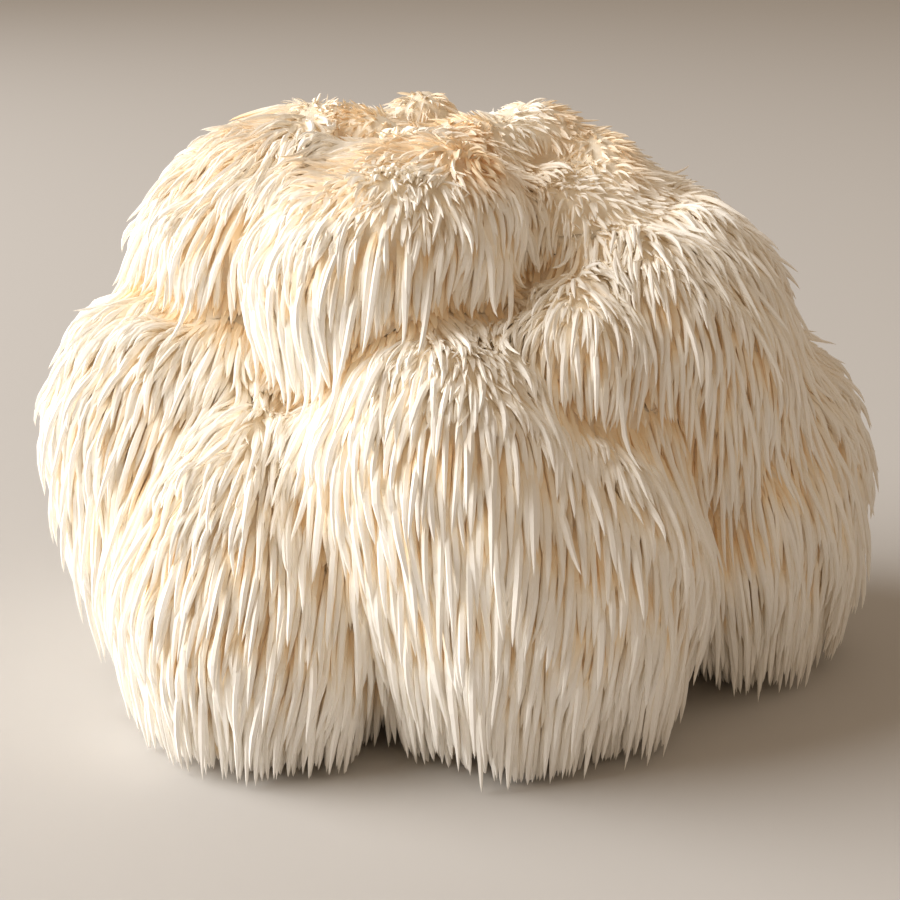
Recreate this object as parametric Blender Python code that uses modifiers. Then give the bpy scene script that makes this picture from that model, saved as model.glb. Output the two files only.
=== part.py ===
# Lion's mane mushroom, picked and resting on its flat cut.
# The fruiting body grew in one piece: a fleshy core that swells into rounded lobes, with every lobe
# covered in hanging spines. The solid is the outer shape that the spine tips reach, folds included.

import bmesh
import bpy
from mathutils import Matrix, Vector

# Driving dimensions, in metres. X runs across the front, -Y faces the viewer, Z is up.
REST_HEIGHT = 0.0
FOLD_DETAIL = 0.0028
FOLD_SMOOTHING = 0.6
SMOOTHING_PASSES = 4
TRIANGLE_SHARE = 0.14
SPHERE_SEGMENTS = 40
SPHERE_RINGS = 24

# Each lobe is an egg-shaped swelling: its name, its centre and its half-sizes along X, Y and Z.
LOBES = [
    ("core", (0.000, 0.004, 0.052), (0.068, 0.062, 0.066)),
    ("crown_core", (0.000, 0.012, 0.100), (0.050, 0.042, 0.033)),
    ("left_dome", (-0.074, 0.000, 0.060), (0.031, 0.046, 0.040)),
    ("left_foot", (-0.065, -0.008, 0.028), (0.026, 0.044, 0.033)),
    ("left_valley_outer", (-0.052, -0.004, 0.068), (0.026, 0.028, 0.028)),
    ("left_valley_inner", (-0.038, -0.014, 0.062), (0.022, 0.025, 0.030)),
    ("front_left_dome", (-0.049, -0.038, 0.035), (0.032, 0.038, 0.044)),
    ("front_left_foot", (-0.045, -0.040, 0.020), (0.030, 0.040, 0.032)),
    ("front_dome", (-0.005, -0.048, 0.063), (0.034, 0.038, 0.040)),
    ("front_foot", (0.009, -0.044, 0.032), (0.038, 0.043, 0.045)),
    ("front_right_dome", (0.033, -0.030, 0.040), (0.026, 0.040, 0.045)),
    ("brow_left", (-0.028, -0.025, 0.102), (0.023, 0.036, 0.026)),
    ("brow_middle", (-0.015, -0.021, 0.108), (0.023, 0.036, 0.024)),
    ("brow_right", (-0.003, -0.015, 0.114), (0.020, 0.036, 0.021)),
    ("shoulder_high", (-0.037, 0.010, 0.117), (0.023, 0.040, 0.022)),
    ("shoulder_middle", (-0.050, 0.012, 0.107), (0.023, 0.038, 0.023)),
    ("shoulder_low", (-0.060, 0.014, 0.098), (0.022, 0.036, 0.024)),
    ("right_brow_inner", (0.024, -0.030, 0.088), (0.018, 0.034, 0.020)),
    ("right_brow_outer", (0.041, -0.016, 0.091), (0.023, 0.038, 0.026)),
    ("right_dome", (0.054, 0.002, 0.082), (0.024, 0.042, 0.037)),
    ("right_curtain", (0.059, 0.000, 0.064), (0.022, 0.040, 0.036)),
    ("right_foot", (0.067, -0.001, 0.036), (0.023, 0.039, 0.042)),
    ("far_right_dome", (0.081, 0.020, 0.039), (0.024, 0.040, 0.043)),
    ("right_terrace_middle", (0.030, -0.002, 0.117), (0.018, 0.022, 0.014)),
    ("right_terrace_inner", (0.024, -0.012, 0.110), (0.016, 0.020, 0.013)),
    ("right_terrace_outer", (0.040, -0.004, 0.106), (0.017, 0.022, 0.014)),
    ("right_shoulder", (0.044, 0.024, 0.108), (0.021, 0.034, 0.017)),
    ("crest_left", (-0.035, 0.014, 0.132), (0.012, 0.016, 0.009)),
    ("crest_front", (-0.022, 0.008, 0.132), (0.009, 0.014, 0.008)),
    ("crest_middle", (-0.011, 0.025, 0.135), (0.010, 0.014, 0.010)),
    ("crest_right_front", (0.005, 0.004, 0.132), (0.012, 0.016, 0.009)),
    ("crest_right", (0.018, 0.018, 0.133), (0.013, 0.016, 0.009)),
    ("crest_far_right", (0.032, 0.015, 0.126), (0.012, 0.016, 0.010)),
    ("back_left_dome", (-0.058, 0.042, 0.050), (0.034, 0.038, 0.052)),
    ("back_left_brow", (-0.042, 0.036, 0.098), (0.030, 0.034, 0.030)),
    ("back_foot", (-0.012, 0.056, 0.030), (0.034, 0.0312, 0.038)),
    ("back_curtain", (0.000, 0.044, 0.086), (0.040, 0.036, 0.036)),
    ("back_right_dome", (0.038, 0.050, 0.038), (0.038, 0.0372, 0.046)),
    ("back_right_brow", (0.040, 0.040, 0.094), (0.028, 0.030, 0.028)),
    ("back_right_lump", (0.066, 0.044, 0.060), (0.026, 0.030, 0.036)),
]

# Colour and surface of the ivory spines
SPINE_COLOUR = (0.84, 0.74, 0.58, 1.0)
SPINE_ROUGHNESS = 0.62


def clear_scene():
    for old_object in list(bpy.data.objects):
        bpy.data.objects.remove(old_object, do_unlink=True)


def make_collection(name):
    collection = bpy.data.collections.new(name)
    bpy.context.scene.collection.children.link(collection)
    return collection


def spine_material():
    material = bpy.data.materials.new("ivory_spines")
    material.use_nodes = True
    shader = material.node_tree.nodes["Principled BSDF"]
    shader.inputs["Base Color"].default_value = SPINE_COLOUR
    shader.inputs["Roughness"].default_value = SPINE_ROUGHNESS
    shader.inputs["Metallic"].default_value = 0.0
    return material


def ball_mesh():
    """A ball of radius 1, from which every egg shape is stretched."""
    mesh = bpy.data.meshes.new("ball")
    ball = bmesh.new()
    bmesh.ops.create_uvsphere(ball, u_segments=SPHERE_SEGMENTS, v_segments=SPHERE_RINGS, radius=1.0)
    ball.to_mesh(mesh)
    ball.free()
    return mesh


def lobe_mesh():
    """All the lobes as overlapping egg shapes in one mesh."""
    ball = ball_mesh()
    lobes = bmesh.new()
    for _, centre, half_sizes in LOBES:
        egg = ball.copy()
        egg.transform(Matrix.LocRotScale(Vector(centre), None, Vector(half_sizes)))
        lobes.from_mesh(egg)
        bpy.data.meshes.remove(egg)
    bpy.data.meshes.remove(ball)
    mesh = bpy.data.meshes.new("lobes")
    lobes.to_mesh(mesh)
    lobes.free()
    return mesh


def ground_cutter(collection):
    """A block whose top face is the flat cut that the body rests on."""
    block_size = 0.4
    block_depth = 0.1
    bpy.ops.mesh.primitive_cube_add(size=1.0)
    cutter = bpy.context.object
    cutter.name = "ground_cutter"
    cutter.scale = (block_size, block_size, block_depth)
    cutter.location = (0.0, 0.0, REST_HEIGHT - block_depth / 2)
    cutter.hide_render = True
    cutter.display_type = "WIRE"
    for owner in list(cutter.users_collection):
        owner.objects.unlink(cutter)
    collection.objects.link(cutter)
    return cutter


def fruiting_body(collection, cutter):
    """The lobes grown together in one closed skin, cut off flat underneath."""
    body = bpy.data.objects.new("fruiting_body", lobe_mesh())
    collection.objects.link(body)
    body.data.materials.append(spine_material())

    skin = body.modifiers.new("grow_together", "REMESH")
    skin.mode = "VOXEL"
    skin.voxel_size = FOLD_DETAIL
    skin.use_smooth_shade = True

    folds = body.modifiers.new("soften_folds", "SMOOTH")
    folds.factor = FOLD_SMOOTHING
    folds.iterations = SMOOTHING_PASSES

    facets = body.modifiers.new("fewer_facets", "DECIMATE")
    facets.decimate_type = "COLLAPSE"
    facets.ratio = TRIANGLE_SHARE
    facets.use_collapse_triangulate = True

    rest_cut = body.modifiers.new("flat_cut", "BOOLEAN")
    rest_cut.operation = "DIFFERENCE"
    rest_cut.solver = "EXACT"
    rest_cut.object = cutter
    return body


clear_scene()
part_collection = make_collection("lions_mane_mushroom")
cutter_collection = make_collection("cutters")
fruiting_body(part_collection, ground_cutter(cutter_collection))
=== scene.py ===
import math

import bmesh
import bpy
import numpy as np
from mathutils import Matrix, Vector
from mathutils.kdtree import KDTree


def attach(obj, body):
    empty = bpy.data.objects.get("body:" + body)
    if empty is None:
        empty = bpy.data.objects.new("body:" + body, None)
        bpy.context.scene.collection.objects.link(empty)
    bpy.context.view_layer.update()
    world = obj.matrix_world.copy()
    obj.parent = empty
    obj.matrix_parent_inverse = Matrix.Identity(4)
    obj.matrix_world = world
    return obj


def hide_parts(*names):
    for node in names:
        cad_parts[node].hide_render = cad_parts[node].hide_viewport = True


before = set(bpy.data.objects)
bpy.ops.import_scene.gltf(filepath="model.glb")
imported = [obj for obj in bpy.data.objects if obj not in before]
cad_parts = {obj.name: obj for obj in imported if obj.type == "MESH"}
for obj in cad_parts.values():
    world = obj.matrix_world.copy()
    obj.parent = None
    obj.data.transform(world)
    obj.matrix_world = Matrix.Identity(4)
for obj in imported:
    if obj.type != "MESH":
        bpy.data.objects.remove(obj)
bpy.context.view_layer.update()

# Flesh
# The mushroom's body is spongy white flesh that grew as one mass and swelled into rounded lobes, and
# every spine roots in it. Each lobe is the outer shape of the solid, less the depth of its spines.
# Underneath, the flesh is cut off flat where it was picked.

# Each lobe is an egg shape: its centre, and its half-sizes along X, Y and Z
LOBES = {
    "heart": [
        ((0.000, 0.004, 0.052), (0.068, 0.062, 0.066)),
        ((0.000, 0.012, 0.100), (0.050, 0.042, 0.033)),
    ],
    "left": [
        ((-0.074, 0.000, 0.060), (0.031, 0.046, 0.040)),
        ((-0.065, -0.008, 0.028), (0.026, 0.044, 0.033)),
        ((-0.052, -0.004, 0.068), (0.026, 0.028, 0.028)),
        ((-0.038, -0.014, 0.062), (0.022, 0.025, 0.030)),
    ],
    "front_left": [
        ((-0.049, -0.038, 0.035), (0.032, 0.038, 0.044)),
        ((-0.045, -0.040, 0.020), (0.030, 0.040, 0.032)),
    ],
    "front": [
        ((-0.005, -0.048, 0.063), (0.034, 0.038, 0.040)),
        ((0.009, -0.044, 0.032), (0.038, 0.043, 0.045)),
        ((0.033, -0.030, 0.040), (0.026, 0.040, 0.045)),
    ],
    "brow": [
        ((-0.028, -0.025, 0.102), (0.023, 0.036, 0.026)),
        ((-0.015, -0.021, 0.108), (0.023, 0.036, 0.024)),
        ((-0.003, -0.015, 0.114), (0.020, 0.036, 0.021)),
    ],
    "shoulder": [
        ((-0.037, 0.010, 0.117), (0.023, 0.040, 0.022)),
        ((-0.050, 0.012, 0.107), (0.023, 0.038, 0.023)),
        ((-0.060, 0.014, 0.098), (0.022, 0.036, 0.024)),
    ],
    "right": [
        ((0.024, -0.030, 0.088), (0.018, 0.034, 0.020)),
        ((0.041, -0.016, 0.091), (0.023, 0.038, 0.026)),
        ((0.054, 0.002, 0.082), (0.024, 0.042, 0.037)),
        ((0.059, 0.000, 0.064), (0.022, 0.040, 0.036)),
    ],
    "far_right": [
        ((0.067, -0.001, 0.036), (0.023, 0.039, 0.042)),
        ((0.081, 0.020, 0.039), (0.024, 0.040, 0.043)),
    ],
    "upper_right": [
        ((0.030, -0.002, 0.117), (0.018, 0.022, 0.014)),
        ((0.024, -0.012, 0.110), (0.016, 0.020, 0.013)),
        ((0.040, -0.004, 0.106), (0.017, 0.022, 0.014)),
        ((0.044, 0.024, 0.108), (0.021, 0.034, 0.017)),
    ],
    "crest": [
        ((-0.035, 0.014, 0.132), (0.012, 0.016, 0.009)),
        ((-0.022, 0.008, 0.132), (0.009, 0.014, 0.008)),
        ((-0.011, 0.025, 0.135), (0.010, 0.014, 0.010)),
        ((0.005, 0.004, 0.132), (0.012, 0.016, 0.009)),
        ((0.018, 0.018, 0.133), (0.013, 0.016, 0.009)),
        ((0.032, 0.015, 0.126), (0.012, 0.016, 0.010)),
    ],
    "back_left": [
        ((-0.058, 0.042, 0.050), (0.034, 0.038, 0.052)),
        ((-0.042, 0.036, 0.098), (0.030, 0.034, 0.030)),
    ],
    "back": [
        ((-0.012, 0.056, 0.030), (0.034, 0.0312, 0.038)),
        ((0.000, 0.044, 0.086), (0.040, 0.036, 0.036)),
    ],
    "back_right": [
        ((0.038, 0.050, 0.038), (0.038, 0.0372, 0.046)),
        ((0.040, 0.040, 0.094), (0.028, 0.030, 0.028)),
        ((0.066, 0.044, 0.060), (0.026, 0.030, 0.036)),
    ],
}
GROUPS = list(LOBES)

# How far the flesh lies below the spine tips at a lobe's sides, top and underside, and on the crest
DEPTH_SIDE = 0.0048
DEPTH_TOP = 0.0026
DEPTH_UNDER = 0.011
CREST_DEPTH = 0.002

# How widely the lobes of one group round into each other, and how widely the groups do
JOIN = {"crest": 0.006, "upper_right": 0.012}
USUAL_JOIN = 0.022
VALLEY_JOIN = 0.009

# The small lumps of the flesh's surface
LUMP_SIZE = 0.018
LUMP_HEIGHT = 0.0010
LUMP_SEED = 11

flesh_lobes = {}
for group, lobes in LOBES.items():
    flesh_lobes[group] = []
    for centre, half in lobes:
        side, top, under = DEPTH_SIDE, DEPTH_TOP, DEPTH_UNDER
        if group == "crest":
            side, top, under = CREST_DEPTH, CREST_DEPTH, CREST_DEPTH
        if group == "heart":
            under = 0.0
        flesh_lobes[group].append((
            np.array(centre) + (0, 0, (under - top) / 2),
            np.array(half) - (side, side, (under + top) / 2)))


def unit(vectors):
    """The same directions, each with length 1."""
    return vectors / (np.linalg.norm(vectors, axis=-1, keepdims=True) + 1e-12)


def waves(points, size, seed):
    """A slow random field between about -1 and 1 that changes over the given size."""
    draw = np.random.default_rng(seed)
    total = np.zeros(len(points))
    for _ in range(6):
        way = unit(draw.normal(size=3)) * 2 * math.pi / (size * draw.uniform(0.7, 1.5))
        total += np.sin(points @ way + draw.uniform(0, 2 * math.pi))
    return total / 3


def egg_distance(points, centre, half):
    """Distance from each point to an egg-shaped lobe, negative inside it."""
    from_centre = points - centre
    near = np.linalg.norm(from_centre / half, axis=1)
    slope = np.linalg.norm(from_centre / half ** 2, axis=1) + 1e-9
    return near * (near - 1) / slope


def merged(first, second, join):
    """The smaller of two distances, rounded where they meet."""
    share = np.clip(0.5 + 0.5 * (first - second) / join, 0, 1)
    return first * (1 - share) + second * share - join * share * (1 - share)


FAR_AWAY = 1.0
NUDGE = 0.0003


def group_distance(points, group):
    """Distance from each point to the lobes of one group."""
    distance = np.full(len(points), FAR_AWAY)
    for centre, half in flesh_lobes[group]:
        distance = merged(distance, egg_distance(points, centre, half), JOIN.get(group, USUAL_JOIN))
    return distance


def nearest_groups(points):
    """The number of the group that each point lies on or nearest to."""
    return np.stack([group_distance(points, group) for group in GROUPS], 1).argmin(1)


def flesh_height(points):
    """Height of each point above the whole lumpy body, whose valleys are filled a little."""
    height = np.full(len(points), FAR_AWAY)
    for group in GROUPS:
        height = merged(height, group_distance(points, group), VALLEY_JOIN)
    return height - LUMP_HEIGHT * waves(points, LUMP_SIZE, LUMP_SEED)


def flesh_slope(points):
    """Height of each point above the body, and how it changes along each axis there."""
    height = flesh_height(points)
    steps = np.eye(3) * NUDGE
    return height, np.stack([(flesh_height(points + step) - height) / NUDGE for step in steps], 1)


BALL_SEGMENTS = 48
BALL_RINGS = 28
SKIN_DETAIL = 0.0026
FOLD_SOFTENING = 0.6
SOFTENING_PASSES = 4
FITTING_PASSES = 3
FITTING_DAMPER = 0.05
CUT_FINISH_SLOT = 1


def flesh_surface():
    """The lobes in one skin, fitted to the lumpy body and cut off flat at the floor."""
    ball = bmesh.new()
    bmesh.ops.create_uvsphere(ball, u_segments=BALL_SEGMENTS, v_segments=BALL_RINGS, radius=1.0)
    ball_mesh = bpy.data.meshes.new("ball")
    ball.to_mesh(ball_mesh)
    ball.free()
    eggs = bmesh.new()
    for group in GROUPS:
        for centre, half in flesh_lobes[group]:
            egg = ball_mesh.copy()
            egg.transform(Matrix.LocRotScale(Vector(centre), None, Vector(half)))
            eggs.from_mesh(egg)
            bpy.data.meshes.remove(egg)
    mesh = bpy.data.meshes.new("flesh_lobes")
    eggs.to_mesh(mesh)
    eggs.free()
    carrier = bpy.data.objects.new("flesh_lobes", mesh)
    bpy.context.scene.collection.objects.link(carrier)
    skin = carrier.modifiers.new("skin", "REMESH")
    skin.mode = "VOXEL"
    skin.voxel_size = SKIN_DETAIL
    folds = carrier.modifiers.new("folds", "SMOOTH")
    folds.factor = FOLD_SOFTENING
    folds.iterations = SOFTENING_PASSES
    finished = carrier.evaluated_get(bpy.context.evaluated_depsgraph_get())
    shape = bpy.data.meshes.new_from_object(finished)
    bpy.data.objects.remove(carrier, do_unlink=True)
    places = np.empty(len(shape.vertices) * 3)
    shape.vertices.foreach_get("co", places)
    places = places.reshape(-1, 3)
    for _ in range(FITTING_PASSES):
        height, slope = flesh_slope(places)
        places -= (height / ((slope ** 2).sum(1) + FITTING_DAMPER))[:, None] * slope
    shape.vertices.foreach_set("co", places.reshape(-1))
    cut = bmesh.new()
    cut.from_mesh(shape)
    everything = list(cut.verts) + list(cut.edges) + list(cut.faces)
    bmesh.ops.bisect_plane(cut, geom=everything, plane_co=(0, 0, 0), plane_no=(0, 0, -1), clear_outer=True)
    rim = [edge for edge in cut.edges if edge.is_boundary]
    for face in bmesh.ops.holes_fill(cut, edges=rim)["faces"]:
        face.material_index = CUT_FINISH_SLOT
    bmesh.ops.recalc_face_normals(cut, faces=cut.faces)
    cut.to_mesh(shape)
    cut.free()
    return shape


def new_material(name):
    """A material, with a function that adds a node and one that sets or links a socket."""
    material = bpy.data.materials.new(name)
    material.use_nodes = True
    tree = material.node_tree

    def put(socket, value):
        if isinstance(value, bpy.types.NodeSocket):
            tree.links.new(value, socket)
        else:
            socket.default_value = value

    def add(kind, settings=None, **sockets):
        node = tree.nodes.new(kind)
        for key, value in (settings or {}).items():
            setattr(node, key, value)
        for key, value in sockets.items():
            put(node.inputs[key.replace("_", " ")], value)
        return node

    return material, tree.nodes["Principled BSDF"], add, put


WHITE = (0.990, 0.965, 0.915, 1)
CREAM = (0.985, 0.930, 0.830, 1)
PEACH = (0.980, 0.835, 0.610, 1)
# The sockets of a mix node for its two colours and for their mixture
FIRST = 6
SECOND = 7
MIXED = 2

flesh_mesh = flesh_surface()
flesh = bpy.data.objects.new("flesh", flesh_mesh)
bpy.context.scene.collection.objects.link(flesh)
flesh_mesh.shade_smooth()

flesh_finish, shader, add, put = new_material("woolly_flesh")
grain = add("ShaderNodeTexNoise", Scale=520.0, Detail=8.0, Roughness=0.75)
patches = add("ShaderNodeTexNoise", Scale=70.0, Detail=3.0)
tone = add("ShaderNodeMix", {"data_type": "RGBA"}, Factor=patches.outputs["Fac"])
put(tone.inputs[FIRST], CREAM)
put(tone.inputs[SECOND], PEACH)
put(shader.inputs["Base Color"], tone.outputs[MIXED])
put(shader.inputs["Roughness"], 0.8)
bump = add("ShaderNodeBump", Strength=0.6, Distance=0.0006, Height=grain.outputs["Fac"])
put(shader.inputs["Normal"], bump.outputs["Normal"])
flesh_mesh.materials.append(flesh_finish)

cut_finish, shader, add, put = new_material("spongy_cut")
pores = add("ShaderNodeTexVoronoi", Scale=480.0)
tone = add("ShaderNodeMix", {"data_type": "RGBA"}, Factor=pores.outputs["Distance"])
put(tone.inputs[FIRST], CREAM)
put(tone.inputs[SECOND], WHITE)
put(shader.inputs["Base Color"], tone.outputs[MIXED])
put(shader.inputs["Roughness"], 0.8)
flesh_mesh.materials.append(cut_finish)

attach(flesh, "root")
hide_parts("fruiting_body")

# Undercoat
# All the spines are soft tapered teeth that grew out of the flesh, of the same tissue, and hang down
# it. The undercoat is their first layer: broad ones that lie close all over it, so that no bare
# flesh shows between the others.
rng = np.random.default_rng(7)


def smooth_share(value, low, high):
    """0 up to the low value, 1 from the high value on, and a soft rise between them."""
    share = np.clip((value - low) / (high - low), 0, 1)
    return share * share * (3 - 2 * share)


def between(side, top, topness):
    """A size that changes from a lobe's side to its top."""
    return side + (top - side) * topness


def surface_points(mesh, count):
    """Points spread at random and evenly over a mesh."""
    mesh.calc_loop_triangles()
    corners = np.empty(len(mesh.loop_triangles) * 3, np.int32)
    mesh.loop_triangles.foreach_get("vertices", corners)
    places = np.empty(len(mesh.vertices) * 3, np.float32)
    mesh.vertices.foreach_get("co", places)
    corners, places = corners.reshape(-1, 3), places.reshape(-1, 3).astype(float)
    a, b, c = places[corners[:, 0]], places[corners[:, 1]], places[corners[:, 2]]
    area = np.linalg.norm(np.cross(b - a, c - a), axis=1)
    pick = rng.choice(len(area), count, p=area / area.sum())
    u, v = rng.random(count), rng.random(count)
    over = u + v > 1
    u[over], v[over] = 1 - u[over], 1 - v[over]
    return a[pick] + (b - a)[pick] * u[:, None] + (c - a)[pick] * v[:, None]


# Spines spread out from the crown's middle, and wander most on flat tops
CROWN_MIDDLE = (0.012, 0.045)
WANDER = 0.35
WANDER_SIZE = 0.022
SPREAD_NEAR = 0.07
SPREAD_FAR = 2.1


def downhill_ways(outward, places):
    """The way down the flesh and a little out from the middle; on flat tops it wanders."""
    wander = np.stack([waves(places, WANDER_SIZE, 31), waves(places, WANDER_SIZE, 32)], 1)
    down = np.full((len(places), 3), -1.0)
    down[:, :2] = WANDER * smooth_share(outward[:, 2], 0.4, 0.95)[:, None] * wander
    from_crown = places[:, :2] - CROWN_MIDDLE
    reach = np.linalg.norm(from_crown, axis=1, keepdims=True)
    down[:, :2] += from_crown / (SPREAD_NEAR + SPREAD_FAR * reach)
    return unit(down - (outward * down).sum(1, keepdims=True) * outward)


def thinned(places, flow, across, along):
    """Picks points, in a random order, so that each keeps clear an oval that runs down its lobe."""
    tree = KDTree(len(places))
    for index, place in enumerate(places):
        tree.insert(place, index)
    tree.balance()
    free = np.ones(len(places), bool)
    kept = []
    for index in rng.permutation(len(places)):
        if free[index]:
            kept.append(index)
            near = np.array([found[1] for found in tree.find_range(places[index], along[index])])
            offset = places[near] - places[index]
            downward = offset @ flow[index]
            sideways = (offset ** 2).sum(1) - downward ** 2
            free[near[(downward / along[index]) ** 2 + sideways / across[index] ** 2 < 1]] = False
    return np.array(kept)


# Heights over the floor and the flesh, then how a spine rises, falls, hangs and bends
REST_CLEARANCE = 0.0004
ROOT_DEPTH = 0.0008
LOWEST_LIE = 0.0006
STEEPEST_FALL = 0.25
STEEPEST_RISE = 0.5
HANG = 0.85
STIFFNESS = 0.35


def grown(roots, outward, length, lift, yaw, curl, stops):
    """Paths of spines that run flat down the flesh, rise slowly over those below and then hang."""
    down = np.array([0, 0, -1.0])
    paths = np.empty((len(roots), len(stops), 3))
    here = roots - outward * ROOT_DEPTH
    paths[:, 0] = here
    heading = None
    for stop in range(1, len(stops)):
        step = (length * (stops[stop] - stops[stop - 1]))[:, None]
        height, slope = flesh_slope(here)
        out = unit(slope)
        downhill = downhill_ways(out, here)
        aside = np.cross(out, downhill)
        turn = (yaw + curl * stops[stop])[:, None]
        along = downhill * np.cos(turn) + aside * np.sin(turn)
        wanted = LOWEST_LIE + lift * stops[stop]
        rise = np.clip((wanted - height) / step[:, 0], -STEEPEST_FALL, STEEPEST_RISE)[:, None]
        aim = along * np.sqrt(1 - rise ** 2) + out * rise
        hang = HANG * smooth_share(-out[:, 2], 0.0, 0.6)[:, None]
        aim = unit(aim * (1 - hang) + down * hang)
        if heading is None:
            heading = unit(0.6 * out + along)
        heading = unit(heading * STIFFNESS + aim * (1 - STIFFNESS))
        here = here + heading * step
        paths[:, stop] = here
    for _ in range(2):
        paths[:, 1:-1] = 0.5 * paths[:, 1:-1] + 0.25 * (paths[:, :-2] + paths[:, 2:])
    return paths


# A spine has landed where the flesh under it is flatter by a ledge and near enough to touch
LEDGE = 0.25
TOUCHING = 0.0025
LAST_BIT = 0.3


def free_share(paths, owners, outward, stops):
    """How much of each path comes before it meets the floor or lands on the top of another lobe."""
    share = np.ones(len(paths))
    for stop in range(len(stops) - 1, 1, -1):
        here = paths[:, stop]
        height, slope = flesh_slope(here)
        flatter = unit(slope)[:, 2] > outward[:, 2] + LEDGE
        landed = flatter & (height < TOUCHING) & (nearest_groups(here) != owners)
        blocked = landed | (here[:, 2] < REST_CLEARANCE)
        share[blocked] = stops[stop - 1] + LAST_BIT * (stops[stop] - stops[stop - 1])
    return share


ROOT_THICKNESS = 0.75

# The bake map's strips: their height over their width, the room for a root's end, and the margins
STRIP_SLENDERNESS = 10
CAP_ROOM = 0.08
MARGIN_ACROSS = 0.06
MARGIN_UP = 0.03


def spine_mesh(name, paths, radii, stops, sides, values):
    """Closed tapered tubes along the paths, with values held at every point, in one mesh."""
    count, rings = len(paths), len(stops) - 1
    along = unit(np.gradient(paths, axis=1))
    across = unit(np.cross(along[:, 0], rng.normal(size=(count, 3))))
    swelling = ROOT_THICKNESS + (1 - ROOT_THICKNESS) * smooth_share(stops, 0, 0.3)
    taper = swelling * (1 - stops ** 4) ** 0.7
    angles = np.arange(sides) * 2 * math.pi / sides
    points = np.empty((count, rings * sides + 1, 3))
    for ring in range(rings):
        tangent = along[:, ring]
        across = unit(across - (across * tangent).sum(1, keepdims=True) * tangent)
        other = np.cross(tangent, across)
        size = (radii * taper[ring] * rng.uniform(0.90, 1.10, count))[:, None, None]
        circle = (across[:, None] * np.cos(angles)[None, :, None]
                  + other[:, None] * np.sin(angles)[None, :, None])
        points[:, ring * sides:(ring + 1) * sides] = paths[:, ring, None] + circle * size
    points[:, -1] = paths[:, -1]

    first = np.arange(count)[:, None, None] * (rings * sides + 1)
    ring_index = np.arange(rings - 1)[None, :, None] * sides
    side_index = np.arange(sides)[None, None, :]
    next_side = (side_index + 1) % sides
    quads = np.stack([first + ring_index + side_index, first + ring_index + next_side,
                      first + ring_index + sides + next_side, first + ring_index + sides + side_index], -1)
    last = first + (rings - 1) * sides
    tips = np.stack([last + side_index, last + next_side, first + rings * sides + 0 * side_index], -1)
    caps = (first[:, 0] + np.arange(sides)[None, ::-1])
    loops = np.concatenate([quads.reshape(-1), tips.reshape(-1), caps.reshape(-1)])
    sizes = np.concatenate([np.full(quads.size // 4, 4), np.full(tips.size // 3, 3), np.full(count, sides)])
    mesh = bpy.data.meshes.new(name)
    mesh.vertices.add(points.size // 3)
    mesh.vertices.foreach_set("co", points.reshape(-1))
    mesh.loops.add(len(loops))
    mesh.loops.foreach_set("vertex_index", loops)
    mesh.polygons.add(len(sizes))
    mesh.polygons.foreach_set("loop_start", np.concatenate([[0], np.cumsum(sizes)[:-1]]))
    mesh.update(calc_edges=True)
    mesh.shade_flat()
    for key, value in values.items():
        layer_data = mesh.attributes.new(key, "FLOAT", "POINT")
        layer_data.data.foreach_set("value", np.asarray(value, np.float32).reshape(-1))

    # Every spine has its own upright strip of the bake map, root at the bottom and tip at the top
    strip_rows = math.ceil(math.sqrt(count / STRIP_SLENDERNESS))
    strip_columns = math.ceil(count / strip_rows)
    column = (np.arange(count) % strip_columns)[:, None]
    row = (np.arange(count) // strip_columns)[:, None]
    level = CAP_ROOM + (1 - CAP_ROOM) * np.arange(rings) / rings
    side_left, side_right = np.arange(sides) / sides, (np.arange(sides) + 1) / sides
    quad_across = np.broadcast_to(
        np.stack([side_left, side_right, side_right, side_left], -1)[None], (rings - 1, sides, 4))
    quad_up = np.broadcast_to(
        np.stack([level[:-1], level[:-1], level[1:], level[1:]], -1)[:, None], (rings - 1, sides, 4))
    tip_across = np.stack([side_left, side_right, (side_left + side_right) / 2], -1)
    tip_up = np.broadcast_to(np.array([level[-1], level[-1], 1.0]), (sides, 3))
    cap_across, cap_up = 0.5 + 0.4 * np.cos(-angles), 0.03 + 0.025 * np.sin(-angles)
    strips = []
    for sideways, up in ((quad_across, quad_up), (tip_across, tip_up), (cap_across, cap_up)):
        left = (column + MARGIN_ACROSS + (1 - 2 * MARGIN_ACROSS) * sideways.reshape(1, -1)) / strip_columns
        low = (row + MARGIN_UP + (1 - 2 * MARGIN_UP) * up.reshape(1, -1)) / strip_rows
        strips.append(np.stack([left, low], -1).reshape(-1))
    mesh.uv_layers.new(name="OFBake").data.foreach_set("uv", np.concatenate(strips))
    body = bpy.data.objects.new(name, mesh)
    bpy.context.scene.collection.objects.link(body)
    return body


def per_point(per_ring, sides):
    """Spreads values given for each ring and the tip over the points of the mesh."""
    rings = np.repeat(per_ring[:, :-1], sides, axis=1)
    return np.concatenate([rings, per_ring[:, -1:]], axis=1)


# Ivory spines: white where they are free, with painted warm shade, cream to peach, deep between the others,
# and a tan stain on the crest
TAN = (0.94, 0.74, 0.47, 1)
spine_finish, shader, add, put = new_material("ivory_spines")
painted_gap_shade_value = add("ShaderNodeAttribute", {"attribute_name": "deep"})
tone_value = add("ShaderNodeAttribute", {"attribute_name": "tone"})
stain_value = add("ShaderNodeAttribute", {"attribute_name": "stain"})
# Painted shade: the ramp turns a spine cream, then peach, where it lies deep among the others near the
# flesh
base = add("ShaderNodeValToRGB", Fac=painted_gap_shade_value.outputs["Fac"])
base.color_ramp.elements[0].color = WHITE
base.color_ramp.elements[1].color = PEACH
middle = base.color_ramp.elements.new(0.5)
middle.color = CREAM
shade = add("ShaderNodeHueSaturation", Color=base.outputs["Color"])
value_range = add("ShaderNodeMapRange", Value=tone_value.outputs["Fac"])
value_range.inputs["To Min"].default_value = 0.95
value_range.inputs["To Max"].default_value = 1.02
put(shade.inputs["Value"], value_range.outputs["Result"])
stained = add("ShaderNodeMix", {"data_type": "RGBA"}, Factor=stain_value.outputs["Fac"])
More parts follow.
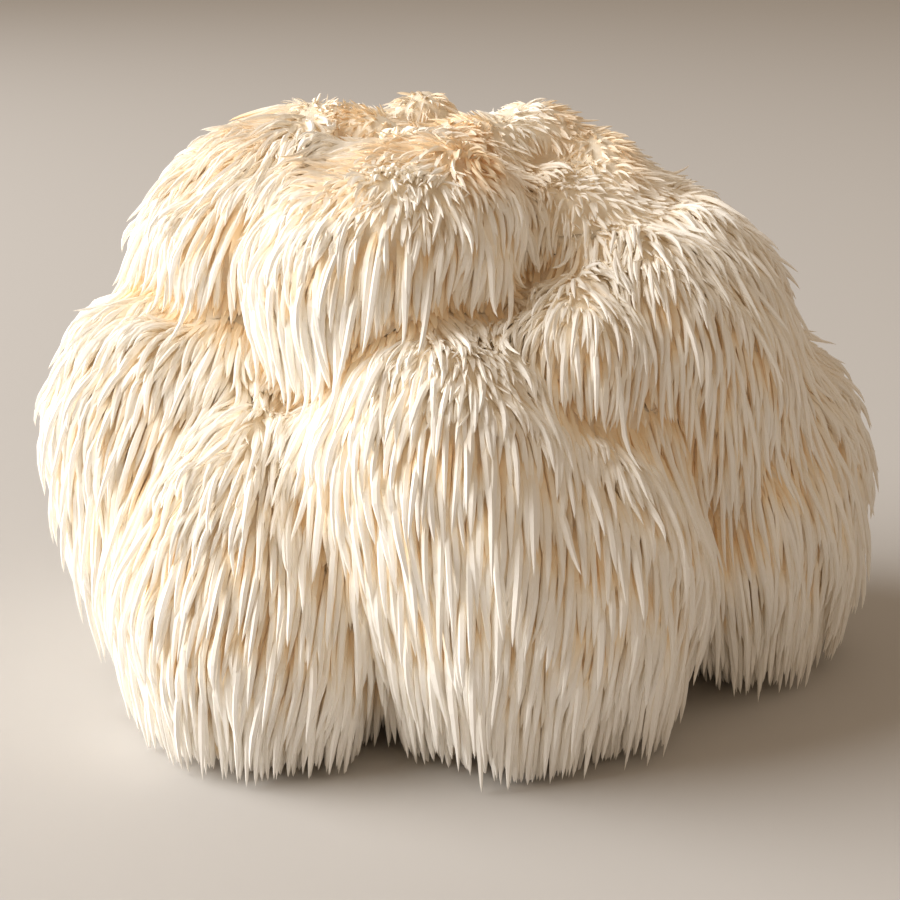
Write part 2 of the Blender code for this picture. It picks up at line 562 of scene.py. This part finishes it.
put(stained.inputs[FIRST], shade.outputs["Color"])
put(stained.inputs[SECOND], TAN)
put(shader.inputs["Base Color"], stained.outputs[MIXED])
mottle = add("ShaderNodeTexNoise", Scale=900.0, Detail=3.0)
rough_range = add("ShaderNodeMapRange", Value=mottle.outputs["Fac"])
rough_range.inputs["To Min"].default_value = 0.45
rough_range.inputs["To Max"].default_value = 0.70
put(shader.inputs["Roughness"], rough_range.outputs["Result"])
bump = add("ShaderNodeBump", Strength=0.1, Distance=0.0002, Height=mottle.outputs["Fac"])
put(shader.inputs["Normal"], bump.outputs["Normal"])
put(shader.inputs["Specular IOR Level"], 0.3)
put(shader.inputs["Sheen Weight"], 0.15)
put(shader.inputs["Sheen Roughness"], 0.4)
put(shader.inputs["Sheen Tint"], (1.0, 0.9, 0.75, 1))

# Places where a spine may root, and how much each is like a lobe's top, where spines are short and fine
CANDIDATES = 90000
LOWEST_ROOT = 0.0025
GROUP_TOP = {"crest": 1.0, "brow": 1.0, "front": 0.9, "upper_right": 1.0, "left": 0.55, "front_left": 0.6}
USUAL_TOP = 0.7
CREST_TOP = 0.75
places = surface_points(flesh_mesh, CANDIDATES)
owners = nearest_groups(places)
outward = unit(flesh_slope(places)[1])
open_air = places[:, 2] > LOWEST_ROOT
places, owners, outward = places[open_air], owners[open_air], outward[open_air]
flow = downhill_ways(outward, places)
topness = smooth_share(outward[:, 2], 0.25, 0.85)
for index, group in enumerate(GROUPS):
    topness[owners == index] *= GROUP_TOP.get(group, USUAL_TOP)
topness = np.maximum(topness, CREST_TOP * (owners == GROUPS.index("crest")))
underness = smooth_share(-outward[:, 2], 0.15, 0.8)

# What sets some groups' spines apart, the shortest spine that is kept, where the crest's tan stain
# starts and is full, and where the front pieces end and the back ones start
GROUP_LENGTH = {"front": 1.05, "upper_right": 0.75, "crest": 0.75}
GROUP_THICKNESS = {"front": 1.08, "brow": 1.05, "shoulder": 0.9, "right": 0.85, "upper_right": 0.75,
                   "crest": 0.65, "heart": 0.75}
LENGTH_UNDERNEATH = 0.55
SHORTEST = 0.004
STAIN_STARTS = 0.118
STAIN_FULL = 0.136
FRONT_ENDS = 0.012


def grow_layer(name, stops, sides, steepness, length, radius, across, along, lift, curliness=1.0):
    """One layer of spines, in a front and a back piece. Each pair of sizes is for sides and tops."""
    least, most = steepness
    here = (topness >= least) & (topness <= most)
    chosen = np.flatnonzero(here)[thinned(
        places[here], flow[here], between(*across, topness[here]), between(*along, topness[here]))]
    roots, owner, out, top, under = (
        values[chosen] for values in (places, owners, outward, topness, underness))
    count = len(roots)
    length = between(*length, top) * (1 - (1 - LENGTH_UNDERNEATH) * under)
    radius = between(*radius, top)
    lift = between(*lift, top)
    for index, group in enumerate(GROUPS):
        length[owner == index] *= GROUP_LENGTH.get(group, 1.0)
        radius[owner == index] *= GROUP_THICKNESS.get(group, 1.0)
    length *= rng.uniform(0.75, 1.12, count) * (1 + 0.10 * waves(roots, 0.03, 3))
    radius *= rng.uniform(0.82, 1.12, count)
    lift *= rng.uniform(0.8, 1.2, count)
    yaw = rng.normal(0, between(0.030, 0.09, top)) * curliness
    yaw += 0.06 * waves(roots, 0.03, 5) + between(0.04, 0.09, top) * waves(roots, 0.010, 6)
    curl = rng.normal(0, between(0.05, 0.16, top)) * curliness
    share = free_share(grown(roots, out, length, lift, yaw, curl, stops), owner, out, stops)
    keep = length * share > SHORTEST
    roots, out, top, radius, lift, yaw, curl = (
        values[keep] for values in (roots, out, top, radius, lift, yaw, curl))
    length = (length * share)[keep]
    paths = grown(roots, out, length, lift, yaw, curl, stops)
    paths[:, :, 2] = np.maximum(paths[:, :, 2], REST_CLEARANCE)
    count = len(paths)
    height = flesh_height(paths.reshape(-1, 3)).reshape(count, -1)
    # Painted shade: how near the flesh each point of a spine lies, deep among the others, less so on the
    # lobes' tops; it tints the spine peach
    deep = (1 - smooth_share(height, 0.0002, 0.0034)) * (1 - 0.75 * top)[:, None]
    crown = smooth_share(paths[:, :, 2], STAIN_STARTS, STAIN_FULL)
    patch = waves(paths.reshape(-1, 3), 0.022, 21).reshape(count, -1)
    stain = crown * np.clip(0.30 + 0.5 * patch, 0, 0.9)
    tone = np.repeat(rng.random(count)[:, None], len(stops), 1)
    front = paths[:, 0, 1] < FRONT_ENDS

    for part, mine in (("front", front), ("back", ~front)):
        values = {key: per_point(value[mine], sides)
                  for key, value in (("deep", deep), ("stain", stain), ("tone", tone))}
        spines = spine_mesh(f"{name}_{part}", paths[mine], radius[mine], stops, sides, values)
        spines.data.materials.append(spine_finish)
        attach(spines, "root")
        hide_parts("fruiting_body")


grow_layer(
    "undercoat", stops=np.array([0, 0.3, 0.6, 0.85, 1.0]), sides=3, steepness=(0.0, 1.0),
    length=(0.014, 0.0095), radius=(0.00110, 0.00080), across=(0.0021, 0.0017),
    along=(0.0050, 0.0036), lift=(0.0002, 0.0002))

# Inner spines
# The lower of the two main layers, of the same soft tissue. Its spines root all over the sides of
# the lobes and hang about two centimetres down over the undercoat.
MAIN_STOPS = np.array([0, 0.2, 0.4, 0.6, 0.78, 0.92, 1.0])
grow_layer(
    "inner_spines", stops=MAIN_STOPS, sides=4, steepness=(0.0, 0.8),
    length=(0.020, 0.012), radius=(0.00090, 0.00068), across=(0.0019, 0.0016),
    along=(0.0068, 0.0044), lift=(0.0012, 0.0010))

# Outer spines
# The upper main layer, the one seen most. Its spines are round, tapered and a little longer, and
# their tips stand away from the layer below, so that each throws a small shadow.
grow_layer(
    "outer_spines", stops=MAIN_STOPS, sides=6, steepness=(0.0, 0.8),
    length=(0.025, 0.014), radius=(0.00088, 0.00066), across=(0.0020, 0.0017),
    along=(0.0080, 0.0050), lift=(0.0026, 0.0018))

# Long spines
# A few longer spines, rooted wider apart, that lie over the main layers and break up their rows.
# They grew like the rest, and reach the outer shape of the solid.
grow_layer(
    "long_spines", stops=np.array([0, 0.16, 0.34, 0.52, 0.70, 0.84, 0.94, 1.0]), sides=6,
    steepness=(0.0, 0.7), length=(0.028, 0.015), radius=(0.00086, 0.00066),
    across=(0.0048, 0.0036), along=(0.0120, 0.0070), lift=(0.0052, 0.0030))

# Drips
# Short, thinner spines near the tops of the lobes, where the hanging ones begin. They are the same
# tissue at a younger stage, and cover the change from hanging spines to wool.
grow_layer(
    "drips", stops=MAIN_STOPS, sides=5, steepness=(0.45, 1.0),
    length=(0.013, 0.0095), radius=(0.00072, 0.00058), across=(0.0021, 0.0017),
    along=(0.0056, 0.0038), lift=(0.0022, 0.0018))

# Wool
# Fine short fuzz on the tops of the lobes and on the crest, where the spines never grew long. Its
# hairs curl more than the spines do and lie in all directions.
grow_layer(
    "wool", stops=np.array([0, 0.22, 0.44, 0.64, 0.84, 1.0]), sides=3, steepness=(0.55, 1.0),
    length=(0.009, 0.0075), radius=(0.00042, 0.00031), across=(0.0017, 0.0010),
    along=(0.0032, 0.0019), lift=(0.0026, 0.0020), curliness=2.4)

# Floor, light and camera
# The mushroom stands on its cut on a plain pale floor. Broad soft light comes from the left with a
# dim warm light all round, and the camera is at the photograph's height.
FLOOR_RADIUS = 7.0
FLOOR_COLOUR = (0.54, 0.53, 0.52, 1)
floor_mesh = bpy.data.meshes.new("floor")
disc = bmesh.new()
bmesh.ops.create_circle(disc, cap_ends=True, segments=96, radius=FLOOR_RADIUS)
disc.to_mesh(floor_mesh)
disc.free()
floor = bpy.data.objects.new("floor", floor_mesh)
bpy.context.scene.collection.objects.link(floor)
floor_finish, shader, add, put = new_material("pale_floor")
put(shader.inputs["Base Color"], FLOOR_COLOUR)
put(shader.inputs["Roughness"], 0.85)
floor_mesh.materials.append(floor_finish)

LIGHT_PLACE = Vector((-2.42, -0.10, 1.25))
LIGHT_TARGET = Vector((0, 0, 0.06))
lamp = bpy.data.lights.new("key_light", "AREA")
lamp.shape = "DISK"
lamp.size = 3.0
lamp.energy = 142.0
lamp.color = (1.0, 0.985, 0.96)
key_light = bpy.data.objects.new("key_light", lamp)
key_light.location = LIGHT_PLACE
key_light.rotation_euler = (LIGHT_TARGET - LIGHT_PLACE).to_track_quat("-Z", "Y").to_euler()
bpy.context.scene.collection.objects.link(key_light)

world = bpy.data.worlds.new("studio")
world.use_nodes = True
background = world.node_tree.nodes["Background"]
background.inputs["Color"].default_value = (1.0, 0.78, 0.57, 1)
background.inputs["Strength"].default_value = 0.41
bpy.context.scene.world = world
bpy.context.scene.view_settings.view_transform = "Standard"
# Pale spines pass light on among them many times
bpy.context.scene.cycles.diffuse_bounces = 12

CAMERA_ELEVATION = math.radians(15)
CAMERA_DISTANCE = 0.531
CAMERA_TARGET = Vector((-0.0035, 0, 0.057))
camera_data = bpy.data.cameras.new("camera")
camera_data.lens = 85
camera_data.sensor_width = 36
camera = bpy.data.objects.new("camera", camera_data)
camera.location = CAMERA_TARGET + CAMERA_DISTANCE * Vector(
    (0, -math.cos(CAMERA_ELEVATION), math.sin(CAMERA_ELEVATION)))
camera.rotation_euler = (CAMERA_TARGET - camera.location).to_track_quat("-Z", "Y").to_euler()
bpy.context.scene.collection.objects.link(camera)
bpy.context.scene.camera = camera
